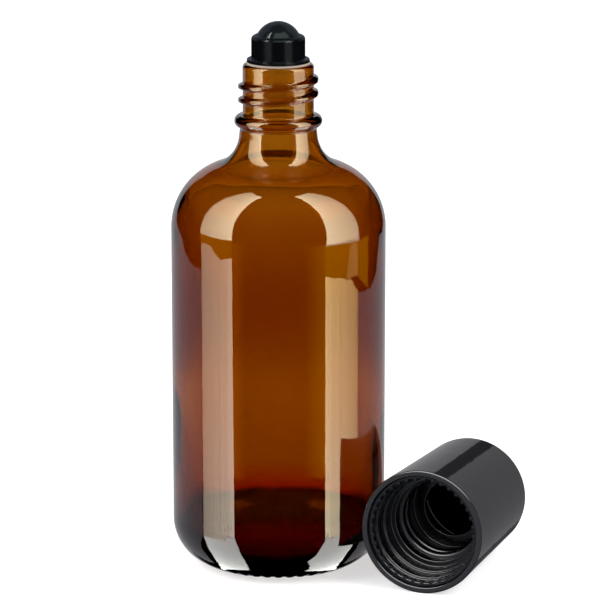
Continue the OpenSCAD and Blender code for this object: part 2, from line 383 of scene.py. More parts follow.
def knurl_tree():
    """Presses radial grooves into the ring that the bottle stands on, from its inner edge onto the heel."""
    tree, given, result = new_tree("knurled_ring", [
        ("Count", "NodeSocketInt"),
        ("Depth", "NodeSocketFloat"),
        ("Inner radius", "NodeSocketFloat"),
        ("Full radius", "NodeSocketFloat"),
        ("Outer radius", "NodeSocketFloat"),
        ("Material", "NodeSocketMaterial"),
    ])
    place = add(tree, "GeometryNodeInputPosition").outputs[0]
    split = add(tree, "ShaderNodeSeparateXYZ", {0: place})
    flat = add(tree, "ShaderNodeVectorMath", {0: place, 1: (1, 1, 0)}, operation="MULTIPLY").outputs[0]
    away = add(tree, "ShaderNodeVectorMath", {0: flat}, operation="LENGTH").outputs["Value"]
    turn = add(tree, "ShaderNodeMath", {
        0: split.outputs[1], 1: split.outputs[0],
    }, operation="ARCTAN2").outputs[0]
    waves = add(tree, "ShaderNodeMath", {0: turn, 1: given.outputs["Count"]}, operation="MULTIPLY").outputs[0]
    wave = add(tree, "ShaderNodeMath", {0: waves}, operation="COSINE").outputs[0]
    groove = add(tree, "ShaderNodeMapRange", {
        0: wave, 1: KNURL_WAVE_CUT, 2: 1.0,
    }, interpolation_type="SMOOTHSTEP").outputs[0]
    start = add(tree, "ShaderNodeMath", {
        0: given.outputs["Inner radius"], 1: KNURL_START * MM,
    }, operation="SUBTRACT").outputs[0]
    rise = add(tree, "ShaderNodeMapRange", {0: away, 1: start, 2: given.outputs["Inner radius"]}).outputs[0]
    fade = add(tree, "ShaderNodeMapRange", {
        0: away, 1: given.outputs["Full radius"], 2: given.outputs["Outer radius"], 3: 1.0, 4: 0.0,
    }).outputs[0]
    low = add(tree, "ShaderNodeMapRange", {
        0: split.outputs[2], 1: KNURL_TOP_Z * MM, 2: KNURL_LOW_Z * MM,
    }).outputs[0]
    depth = given.outputs["Depth"]
    for share in (groove, rise, fade, low):
        depth = add(tree, "ShaderNodeMath", {0: depth, 1: share}, operation="MULTIPLY").outputs[0]
    offset = add(tree, "ShaderNodeCombineXYZ", {2: depth}).outputs[0]
    moved = add(tree, "GeometryNodeSetPosition", {"Geometry": given.outputs[0], "Offset": offset}).outputs[0]
    real = add(tree, "GeometryNodeRealizeInstances", {0: moved}).outputs[0]
    coated = add(tree, "GeometryNodeSetMaterial", {0: real, "Material": given.outputs["Material"]}).outputs[0]
    tree.links.new(coated, result.inputs[0])
    return tree


def nib_tree():
    """A ring of copies of one nib, each facing the axis."""
    tree, given, result = new_tree("nib_ring", [
        ("Count", "NodeSocketInt"),
        ("Radius", "NodeSocketFloat"),
        ("Height", "NodeSocketFloat"),
        ("Material", "NodeSocketMaterial"),
    ])
    ring = add(tree, "GeometryNodeMeshCircle", {
        "Vertices": given.outputs["Count"], "Radius": given.outputs["Radius"],
    }).outputs[0]
    shift = add(tree, "ShaderNodeCombineXYZ", {2: given.outputs["Height"]}).outputs[0]
    lifted = add(tree, "GeometryNodeTransform", {"Geometry": ring, "Translation": shift}).outputs[0]
    place = add(tree, "GeometryNodeInputPosition").outputs[0]
    split = add(tree, "ShaderNodeSeparateXYZ", {0: place})
    turn = add(tree, "ShaderNodeMath", {
        0: split.outputs[1], 1: split.outputs[0],
    }, operation="ARCTAN2").outputs[0]
    facing = add(tree, "ShaderNodeCombineXYZ", {2: turn}).outputs[0]
    copies = add(tree, "GeometryNodeInstanceOnPoints", {
        "Points": lifted, "Instance": given.outputs[0], "Rotation": facing,
    }).outputs[0]
    real = add(tree, "GeometryNodeRealizeInstances", {0: copies}).outputs[0]
    coated = add(tree, "GeometryNodeSetMaterial", {0: real, "Material": given.outputs["Material"]}).outputs[0]
    tree.links.new(coated, result.inputs[0])
    return tree


def inner_thread_tree():
    """A spiral ridge inside the barrel: a section swept along a helix, thin at both ends."""
    tree, given, result = new_tree("inner_thread", [
        ("Turns", "NodeSocketFloat"),
        ("Pitch", "NodeSocketFloat"),
        ("Radius", "NodeSocketFloat"),
        ("Start height", "NodeSocketFloat"),
        ("Ridge", "NodeSocketFloat"),
        ("Fade share", "NodeSocketFloat"),
        ("Material", "NodeSocketMaterial"),
    ])
    height = add(tree, "ShaderNodeMath", {
        0: given.outputs["Turns"], 1: given.outputs["Pitch"],
    }, operation="MULTIPLY").outputs[0]
    helix = add(tree, "GeometryNodeCurveSpiral", {
        "Resolution": HELIX_STEPS,
        "Rotations": given.outputs["Turns"],
        "Start Radius": given.outputs["Radius"],
        "End Radius": given.outputs["Radius"],
        "Height": height,
    }).outputs[0]
    shift = add(tree, "ShaderNodeCombineXYZ", {2: given.outputs["Start height"]}).outputs[0]
    placed = add(tree, "GeometryNodeTransform", {"Geometry": helix, "Translation": shift}).outputs[0]
    along = add(tree, "GeometryNodeSplineParameter").outputs["Factor"]
    rest = add(tree, "ShaderNodeMath", {0: 1.0, 1: along}, operation="SUBTRACT").outputs[0]
    nearest = add(tree, "ShaderNodeMath", {0: along, 1: rest}, operation="MINIMUM").outputs[0]
    share = add(tree, "ShaderNodeMapRange", {
        0: nearest, 1: 0.0, 2: given.outputs["Fade share"], 3: RIDGE_END_SHARE, 4: 1.0,
    }, interpolation_type="SMOOTHSTEP").outputs[0]
    section = add(tree, "GeometryNodeCurvePrimitiveCircle", {
        "Resolution": RIDGE_STEPS, "Radius": given.outputs["Ridge"],
    }).outputs[0]
    swept = add(tree, "GeometryNodeCurveToMesh", {
        "Curve": placed, "Profile Curve": section, "Scale": share, "Fill Caps": True,
    }).outputs[0]
    smoothed = add(tree, "GeometryNodeSetShadeSmooth", {0: swept}).outputs[0]
    real = add(tree, "GeometryNodeRealizeInstances", {0: smoothed}).outputs[0]
    coated = add(tree, "GeometryNodeSetMaterial", {0: real, "Material": given.outputs["Material"]}).outputs[0]
    tree.links.new(coated, result.inputs[0])
    return tree


# Materials


def new_material(name):
    """A material with an empty node tree and its output node."""
    material = bpy.data.materials.new(name)
    material.use_nodes = True
    material.node_tree.nodes.clear()
    return material, material.node_tree, add(material.node_tree, "ShaderNodeOutputMaterial")


def amber_glass():
    """Amber soda-lime glass, blown in a mould: deep orange-brown that turns red-black where it is thick,
    a hard clear gloss, and faint upright waves that make reflections quiver. Its foot is darkened further by
    a painted shade."""
    material, tree, output = new_material("amber_soda_lime_glass")
    place = add(tree, "ShaderNodeTexCoord").outputs["Object"]
    # Waves of the mould wall are about 3 mm wide and 40 mm tall
    stretched = add(tree, "ShaderNodeMapping", {"Vector": place, "Scale": (330, 330, 25)}).outputs[0]
    waves = add(tree, "ShaderNodeTexNoise", {"Vector": stretched, "Scale": 1.0, "Detail": 2.0}).outputs[0]
    # Ripples are about 5 mm each way and a few thousandths of a millimetre high
    ripple = add(tree, "ShaderNodeTexNoise", {"Vector": place, "Scale": 200.0, "Detail": 1.0}).outputs[0]
    rippled = add(tree, "ShaderNodeBump", {
        "Height": ripple, "Strength": 1.0, "Distance": 0.004 * MM,
    }).outputs[0]
    bump = add(tree, "ShaderNodeBump", {
        "Height": waves, "Strength": 0.25, "Distance": 0.02 * MM, "Normal": rippled,
    }).outputs[0]
    # Painted shade: below 11 to 17 mm the glass's colour turns red and lets less green and blue through,
    # so that the foot looks red-black beyond what its thick glass gives, as in the shade under the bottle
    height = add(tree, "ShaderNodeSeparateXYZ", {0: place}).outputs[2]
    foot = add(tree, "ShaderNodeMapRange", {0: height, 1: 17 * MM, 2: 11 * MM}).outputs[0]
    tone = add(tree, "ShaderNodeMix", {
        0: foot, 6: linear("#ffffff"), 7: linear("#f06048"),
    }, data_type="RGBA").outputs[2]
    glass = add(tree, "ShaderNodeBsdfPrincipled", {
        "Base Color": tone,
        "Roughness": 0.0,
        "IOR": 1.52,
        "Transmission Weight": 1.0,
        "Normal": bump,
    })
    # The colour is in the thickness: two walls let 27% of red, 6% of green and hardly any blue through
    tint = add(tree, "ShaderNodeVolumeAbsorption", {"Color": linear("#eace00"), "Density": 1660.0})
    tree.links.new(glass.outputs[0], output.inputs["Surface"])
    tree.links.new(tint.outputs[0], output.inputs["Volume"])
    return material


def black_plastic(name, colour, roughness, level, grain=0.0):
    """Black polypropylene, injection moulded: a soft gloss over near black, uneven as the mould is."""
    material, tree, output = new_material(name)
    place = add(tree, "ShaderNodeTexCoord").outputs["Object"]
    # Flow marks are some 6 mm across, the grain of the mould well under a millimetre
    flow = add(tree, "ShaderNodeTexNoise", {"Vector": place, "Scale": 160.0, "Detail": 3.0}).outputs[0]
    fine = add(tree, "ShaderNodeTexNoise", {"Vector": place, "Scale": 2600.0, "Detail": 2.0}).outputs[0]
    shine = add(tree, "ShaderNodeMapRange", {
        0: flow, 1: 0.3, 2: 0.7, 3: roughness * 0.8, 4: roughness * 1.2,
    }).outputs[0]
    broad = add(tree, "ShaderNodeBump", {"Height": flow, "Strength": 0.5, "Distance": 0.12 * MM}).outputs[0]
    bump = add(tree, "ShaderNodeBump", {
        "Height": fine, "Strength": grain, "Distance": 0.01 * MM, "Normal": broad,
    }).outputs[0]
    plastic = add(tree, "ShaderNodeBsdfPrincipled", {
        "Base Color": linear(colour),
        "Roughness": shine,
        "IOR": 1.49,
        "Specular IOR Level": level,
        "Normal": bump,
    })
    tree.links.new(plastic.outputs[0], output.inputs["Surface"])
    return material


def natural_plastic():
    """Undyed polyethylene, moulded: milky and waxy, with a soft sheen."""
    material, tree, output = new_material("natural_polyethylene")
    place = add(tree, "ShaderNodeTexCoord").outputs["Object"]
    # Clouds are about 2.5 mm across
    cloud = add(tree, "ShaderNodeTexNoise", {"Vector": place, "Scale": 400.0, "Detail": 2.0}).outputs[0]
    milky = add(tree, "ShaderNodeMix", {
        0: cloud, 6: linear("#f4ebdf"), 7: linear("#fdf6ec"),
    }, data_type="RGBA").outputs[2]
    # Painted shade: the sleeve's ring on the lip is painted grey, as the shade that falls under the housing's
    # black rim
    height = add(tree, "ShaderNodeSeparateXYZ", {0: place}).outputs[2]
    painted_shade = add(tree, "ShaderNodeMapRange", {
        0: height, 1: (LIP_Z - 0.05) * MM, 2: (LIP_Z + 0.05) * MM,
    }).outputs[0]
    tone = add(tree, "ShaderNodeMix", {
        0: painted_shade, 6: milky, 7: linear("#bbada1"),
    }, data_type="RGBA").outputs[2]
    plastic = add(tree, "ShaderNodeBsdfPrincipled", {"Base Color": tone, "Roughness": 0.45, "IOR": 1.51})
    tree.links.new(plastic.outputs[0], output.inputs["Surface"])
    return material


# The bottle


def unevenness(a, r, z):
    """How much thicker than even the blown wall is at a place on its inside, in millimetres."""
    at = Vector((math.cos(a) * r, math.sin(a) * r, z * WAVE_SQUASH)) / WAVE_SIZE
    broad = noise.noise(at) * BROAD_WAVE
    small = noise.noise(at * SMALL_WAVE_SHARE + Vector(SMALL_WAVE_SHIFT)) * SMALL_WAVE
    belt = BELT_T * math.exp(-(((z - BELT_Z) / BELT_SPREAD) ** 2))
    low = LOW_T * smooth((LOW_TOP_Z - z) / LOW_FADE)
    high = SHOULDER_THIN * smooth((z - SHOULDER_Z) / SHOULDER_FADE)
    # 0 at the front and back, 1 at the two flanks
    aside = abs(math.cos(a - VIEW_TURN))
    flank = FLANK_THIN * smooth((aside - FLANK_START) / FLANK_RISE)
    flank *= math.exp(-(((z - FLANK_Z) / FLANK_SPREAD) ** 2))
    side = SIDE_T * smooth((aside - SIDE_START) / SIDE_RISE)
    side *= smooth((z - SIDE_LOW_Z) / SIDE_FADE)
    side *= smooth((SIDE_TOP_Z - z) / SIDE_FADE)
    return broad + small + belt + low - high - flank + side


def ridge_share(a, z):
    """Height of the neck's spiral ridge at an angle and height, as a share of its crest."""
    total = THREAD_TURNS * 2 * math.pi
    first_z = LIP_Z - THREAD_DROP - THREAD_TURNS * THREAD_PITCH
    best = 0.0
    for turn in range(math.ceil(THREAD_TURNS) + 1):
        along = (a - THREAD_END_A + total) % (2 * math.pi) + turn * 2 * math.pi
        if along > total:
            break
        off = abs(z - first_z - THREAD_PITCH * along / (2 * math.pi))
        across = smooth((THREAD_FOOT / 2 - off) / (THREAD_FOOT / 2 - THREAD_CREST / 2))
        ends = smooth(min(along, total - along) / THREAD_FADE_A)
        best = max(best, across * ends)
    return best


def bottle_outline():
    """The glass as two outlines: from the middle of its base round the outside to the lip, and from there
    down inside to its floor. A line's last number is its count of stretches, an arc's is its step. Lines end
    a little off the arcs, so that their rows hold the flats."""
    ring_top_z = LIP_Z - FINISH_LEN
    ring_mid = (RING_R - RING_H / 2, ring_top_z - RING_H / 2)
    flare_z = ring_top_z - RING_H - NECK_LEN
    flare = (NECK_R + FLARE_R, flare_z)
    shoulder_x = BODY_R - SHOULDER_R
    lean = math.acos((flare[0] - shoulder_x) / (SHOULDER_R + FLARE_R))
    shoulder = (shoulder_x, flare_z - (SHOULDER_R + FLARE_R) * math.sin(lean))
    hollow_x = BODY_R - HEEL_R - BEARING_W
    hollow_r = (hollow_x**2 + HOLLOW_DEPTH**2) / (2 * HOLLOW_DEPTH)
    hollow_a = math.asin(hollow_x / hollow_r)
    fillet = (ring_mid[0], ring_top_z + ring_mid[0] - FINISH_R)
    bead_foot = -math.acos((NECK_R - ring_mid[0]) / (RING_H / 2))
    quarter = math.pi / 2

    outside = arc((0, HOLLOW_DEPTH - hollow_r), hollow_r, quarter, quarter - hollow_a, hollow_a / 12)
    outside += line((hollow_x + 0.1, 0), (BODY_R - HEEL_R, 0), 4)
    outside += arc((BODY_R - HEEL_R, HEEL_R), HEEL_R, -quarter, 0)
    outside += line((BODY_R, HEEL_R + 0.3), (BODY_R, shoulder[1] - 0.3), 22)
    outside += arc(shoulder, SHOULDER_R, 0, lean, math.radians(2.4))
    outside += arc(flare, FLARE_R, math.pi + lean, math.pi, math.radians(5))
    neck_top_z = ring_mid[1] + RING_H / 2 * math.sin(bead_foot)
    outside += line((NECK_R, flare_z + 0.2), (NECK_R, neck_top_z - 0.05), 3)
    outside += arc(ring_mid, RING_H / 2, bead_foot, quarter, math.radians(10))
    outside += arc(fillet, ring_mid[0] - FINISH_R, -quarter, -math.pi, math.radians(18))
    outside += line((FINISH_R, fillet[1] + 0.1), (FINISH_R, LIP_Z - LIP_ROUND - 0.05), 68)
    outside += arc((FINISH_R - LIP_ROUND, LIP_Z - LIP_ROUND), LIP_ROUND, 0, quarter, math.radians(11))

    inner_r = BODY_R - WALL
    heel = (inner_r - INNER_HEEL_R, FLOOR_T + INNER_HEEL_R)
    inside = filleted([
        (FINISH_R - LIP_ROUND - 0.2, LIP_Z, 0),
        (BORE_R + LIP_CHAMFER, LIP_Z, 0.12),
        (BORE_R, LIP_Z - LIP_CHAMFER, 0.2),
        (BORE_R, ring_top_z + BORE_OPENS, 0),
    ], closed=False)
    inside += line((BORE_R, ring_top_z + BORE_OPENS), (NECK_R - WALL, flare_z + 0.2), 14)
    inside += arc(flare, FLARE_R + WALL, math.pi, math.pi + lean, math.radians(5))
    inside += arc(shoulder, SHOULDER_R - WALL, lean, 0, math.radians(3.5))
    inside += line((inner_r, shoulder[1] - 0.3), (inner_r, heel[1] + 0.3), 24)
    inside += arc(heel, INNER_HEEL_R, 0, -quarter, math.radians(6))
    inside += line((heel[0] - 0.3, FLOOR_T), (0, FLOOR_T), 6)
    return without_doubles(outside), without_doubles(inside)


def glass_bottle(material):
    """The bottle as one closed wall of glass, with its thread, neck ring and knurled foot."""
    outside, inside = bottle_outline()
    # Just under the first row of the neck ring
    foot_of_bead = LIP_Z - FINISH_LEN - RING_H + 0.04

    def shape(row, a, r, z):
        if row >= len(outside):
            below_neck = smooth((EVEN_Z - z) / EVEN_FADE)
            return r - unevenness(a, r, z) * below_neck * smooth(r / EVEN_CORE_R), z
        if NECK_TAPER_Z < z < foot_of_bead:
            return r - NECK_TAPER * ((z - NECK_TAPER_Z) / (foot_of_bead - NECK_TAPER_Z)) ** 2, z
        if z > LIP_Z - FINISH_LEN:
            return r + (THREAD_R - FINISH_R) * ridge_share(a, z) * smooth((LIP_Z - z) / LIP_ROUND), z
        return r, z

    mesh = turned("glass_blank", outside + inside, BOTTLE_STEPS, shape=shape)
    made = baked("amber_bottle", mesh, knurl_tree(), {
        "Count": KNURL_COUNT,
        "Depth": KNURL_DEPTH * MM,
        "Inner radius": (BODY_R - HEEL_R - BEARING_W) * MM,
        "Full radius": KNURL_FULL_R * MM,
        "Outer radius": KNURL_END_R * MM,
        "Material": material,
    })
    return piece("amber_bottle", made, material, "root", ["glass_bottle"])


# The fitment


def roller_housing(material):
    """Flange, socket and spigot, turned in one, with a soft edge round the ball."""
    mouth_z = HOUSING_TOP_Z - 0.12
    mouth_a = math.asin((mouth_z - BALL_Z) / SOCKET_R)
    feed_a = -math.acos(FEED_R / SOCKET_R)
    mouth_r = SOCKET_R * math.cos(mouth_a)
    flange_z = FLANGE_LOW_Z + FLANGE_T
    outline = filleted([
        (FEED_R, LIP_Z - SPIGOT_LEN, 0.15),
        (SPIGOT_R, LIP_Z - SPIGOT_LEN, 0.3),
        (SPIGOT_R, FLANGE_LOW_Z, 0.05),
        (FLANGE_R, FLANGE_LOW_Z, 0.1),
        (FLANGE_R, flange_z, FLANGE_EDGE),
        (HOUSING_R, flange_z, 0.12),
        (HOUSING_R, HOUSING_TOP_Z, HOUSING_EDGE),
        (mouth_r, HOUSING_TOP_Z, 0.08),
    ], closed=True)
    # The closing stretch from the mouth back to the feed hole follows the ball
    outline += arc((0, BALL_Z), SOCKET_R, mouth_a, feed_a, math.radians(6))
    mesh = turned("roller_housing_turned", outline, TURNED_STEPS, closed=True)
    return piece("roller_socket", mesh, material, "root", ["roller_housing"])


def roller_ball(material):
    """The ball, as round as it is polished."""
    work = bmesh.new()
    bmesh.ops.create_icosphere(work, subdivisions=BALL_SPLITS, radius=BALL_R * MM)
    bmesh.ops.translate(work, verts=work.verts, vec=(0, 0, BALL_Z * MM))
    mesh = bpy.data.meshes.new("roller_ball_round")
    work.to_mesh(mesh)
    work.free()
    return piece("ball", finished(mesh), material, "ball", ["roller_ball"])


# The cap, made along Z and then laid down


def laid_down(mesh):
    """Turns a cap piece so that its mouth faces -Y and its tapered side rests on the ground."""
    low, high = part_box("cap_shell")
    tilt = math.atan((CAP_R - CAP_END_R) / CAP_LEN)
    place = Vector(((low.x + high.x) / 2, CAP_MOUTH_Y * MM, CAP_R * math.cos(tilt) * MM))
    mesh.transform(Matrix.Translation(place) @ Matrix.Rotation(-math.pi / 2 - tilt, 4, "X"))
    mesh.update()
    return mesh


def cap_bore(z):
    """Radius inside the cap's shell at a distance from the mouth."""
    return CAP_R - CAP_WALL - (CAP_R - CAP_END_R) * z / CAP_LEN


def cap_shell(material):
    """The cap's plain tapered skirt and closed end."""
    end_z = CAP_LEN - CAP_END_T
    corners = [
        (0, CAP_LEN, 0),
        (CAP_END_R, CAP_LEN, CAP_EDGE),
        (CAP_R, 0, CAP_RIM),
        (cap_bore(0), 0, 0.3),
        (cap_bore(end_z), end_z, CAP_INNER_EDGE),
        (0, end_z, 0),
    ]
    mesh = laid_down(turned("cap_skirt", filleted(corners, closed=False), TURNED_STEPS))
    return piece("cap_skirt", mesh, material, "cap", ["cap_shell"])


def cap_insert(material):
    """The insert's turned body: a collar in three steps, the barrel and the web round its hole."""
    collar_r = cap_bore(RECESS) - COLLAR_WALL
    collar_end_z = BARREL_Z + BARREL_WALL
    outline = filleted([
        (cap_bore(RECESS) - SEAT, RECESS, 0.15),
        (cap_bore(collar_end_z) - SEAT, collar_end_z, 0.2),
        (BARREL_R + BARREL_WALL, collar_end_z, 0.2),
        (BARREL_R + BARREL_WALL, WEB_Z + WEB_T, 0.2),
        (WEB_HOLE_R, WEB_Z + WEB_T, 0.2),
        (WEB_HOLE_R, WEB_Z, 0.2),
        (BARREL_R, WEB_Z, 0.3),
        (BARREL_R, BARREL_Z, 0.25),
        (collar_r - 2 * COLLAR_STEP, BARREL_Z, 0.25),
        (collar_r - 2 * COLLAR_STEP, RING_STEP_Z, 0.25),
        (collar_r - COLLAR_STEP, RING_STEP_Z, 0.25),
        (collar_r - COLLAR_STEP, RING_STEP_Z / 2, 0.25),
        (collar_r, RING_STEP_Z / 2, 0.25),
        (collar_r, RECESS, 0.25),
    ], closed=True)
    mesh = laid_down(turned("cap_insert_turned", outline, TURNED_STEPS, closed=True))
    return piece("cap_thread_insert", mesh, material, "cap", ["cap_insert"])


def inner_thread(material):
    """The ridge that grips the neck's thread."""
    seed = bpy.data.meshes.new("inner_thread_seed")
    mesh = baked("cap_inner_thread", seed, inner_thread_tree(), {
        "Turns": INSERT_TURNS,
        "Pitch": THREAD_PITCH * MM,
        "Radius": (BARREL_R + RIDGE_SINK) * MM,
        "Start height": (BARREL_Z + THREAD_FOOT) * MM,
        "Ridge": (BARREL_R + RIDGE_SINK - INSERT_CREST_R) * MM,
        "Fade share": THREAD_FADE_A / (INSERT_TURNS * 2 * math.pi),
        "Material": material,
    })
    mesh = laid_down(finished(mesh))
    return piece("cap_inner_thread", mesh, material, "cap")


def nib_ring(material):
    """Small nibs round the mouth, moulded on the collar."""
    collar_r = cap_bore(RECESS) - COLLAR_WALL
    work = bmesh.new()
    bmesh.ops.create_cube(work, size=1)
    reach = NIB_H + COLLAR_WALL / 2
    bmesh.ops.scale(work, verts=work.verts, vec=(reach * MM, NIB_W * MM, NIB_LEN * MM))
    bmesh.ops.bevel(work, geom=work.edges[:], offset=NIB_EDGE * MM, segments=3, affect="EDGES", profile=0.5)
    seed = bpy.data.meshes.new("nib_seed")
    work.to_mesh(seed)
    work.free()
    mesh = baked("cap_nibs", seed, nib_tree(), {
        "Count": NIB_COUNT,
        "Radius": (collar_r - NIB_H + reach / 2) * MM,
        "Height": (RECESS + NIB_LEN / 2) * MM,
        "Material": material,
    })
    mesh.shade_smooth()
    return piece("cap_nibs", laid_down(mesh), material, "cap")


# The studio


def direction(azimuth, elevation):
    """A direction from the object. Azimuth 0 points to the camera and grows to its right, in degrees."""
    a, e = math.radians(azimuth), math.radians(elevation)
    flat = VIEW_RIGHT * math.sin(a) - VIEW_AHEAD * math.cos(a)
    return flat * math.cos(e) + Vector((0, 0, math.sin(e)))


def glow(name, colour, power, top_colour=None, end_power=None, streaks=0.0, clear=True):
    """Light of a studio panel. Its colour may change from its foot to its top, and its power from the start
    of its edges to their end, with upright streaks of the given share. Only gloss sees it. Panels behind a
    clear one shine through it."""
    material, tree, output = new_material(name)
    reflected = add(tree, "ShaderNodeMath", {
        0: 1.0, 1: add(tree, "ShaderNodeLightPath").outputs["Is Transmission Ray"],
    }, operation="SUBTRACT").outputs[0]
    across = add(tree, "ShaderNodeAttribute", attribute_name="across").outputs["Fac"]
    up = add(tree, "ShaderNodeAttribute", attribute_name="up").outputs["Fac"]
    even = add(tree, "ShaderNodeMapRange", {
        0: across, 3: power, 4: power if end_power is None else end_power,
    }).outputs[0]
    # About 13 streaks lie across a panel, with finer ones in them
    fine = add(tree, "ShaderNodeTexNoise", {
        "W": across, "Scale": 13.0, "Detail": 3.0,
    }, noise_dimensions="1D").outputs[0]
    streak = add(tree, "ShaderNodeMapRange", {
        0: fine, 1: 0.3, 2: 0.7, 3: 1 - streaks, 4: 1 + streaks,
    }).outputs[0]
    streaked = add(tree, "ShaderNodeMath", {0: even, 1: streak}, operation="MULTIPLY").outputs[0]
    strength = add(tree, "ShaderNodeMath", {0: streaked, 1: reflected}, operation="MULTIPLY").outputs[0]
    tone = add(tree, "ShaderNodeMix", {
        0: up, 6: linear(colour), 7: linear(top_colour or colour),
    }, data_type="RGBA").outputs[2]
    shine = add(tree, "ShaderNodeEmission", {"Color": tone, "Strength": strength}).outputs[0]
    if clear:
        behind = add(tree, "ShaderNodeBsdfTransparent").outputs[0]
        shine = add(tree, "ShaderNodeAddShader", {0: shine, 1: behind}).outputs[0]
    tree.links.new(shine, output.inputs["Surface"])
    material.cycles.emission_sampling = "NONE"
    return material


def panel(name, lower, upper, light, seen_in, distance=PANEL_DISTANCE):
    """A studio panel between two edges, lists of (azimuth, elevation) round the object, seen in the gloss of
    the given pieces."""
    columns = []
    reach = [abs(b[0] - a[0]) for a, b in zip(lower, lower[1:])]
    done = 0.0
    for i, width in enumerate(reach):
        count = max(1, round(width / PANEL_STEP))
        # The last stretch has a column at its end too
        for k in range(count + (i == len(reach) - 1)):
            t = k / count
            low = [lower[i][n] + (lower[i + 1][n] - lower[i][n]) * t for n in (0, 1)]
            high = [upper[i][n] + (upper[i + 1][n] - upper[i][n]) * t for n in (0, 1)]
            columns.append((low, high, (done + width * t) / sum(reach)))
        done += width
    up = max(1, round(max(abs(b[1] - a[1]) for a, b in zip(lower, upper)) / PANEL_STEP))
    centre = Vector((0, 0, LIP_Z / 2 * MM))
    points, across_shares, up_shares = [], [], []
    for low, high, share in columns:
        for j in range(up + 1):
            place = direction(*(low[n] + (high[n] - low[n]) * j / up for n in (0, 1)))
            points.append(centre + distance * place)
            across_shares.append(share)
            up_shares.append(j / up)
    tall = up + 1
    faces = [
        (i * tall + j, (i + 1) * tall + j, (i + 1) * tall + j + 1, i * tall + j + 1)
        for i in range(len(columns) - 1)
        for j in range(up)
    ]
    mesh = bpy.data.meshes.new(name)
    mesh.from_pydata(points, [], faces)
    mesh.attributes.new("across", "FLOAT", "POINT").data.foreach_set("value", across_shares)
    mesh.attributes.new("up", "FLOAT", "POINT").data.foreach_set("value", up_shares)
    mesh.materials.append(light)
    obj = bpy.data.objects.new(name, mesh)
    bpy.context.scene.collection.objects.link(obj)
    for ray in ("camera", "diffuse", "transmission", "volume_scatter", "shadow"):
        setattr(obj, "visible_" + ray, False)
    receivers = bpy.data.collections.new(name + "_is_seen_in")
    for mirror in seen_in:
        receivers.objects.link(mirror)
    obj.light_linking.receiver_collection = receivers


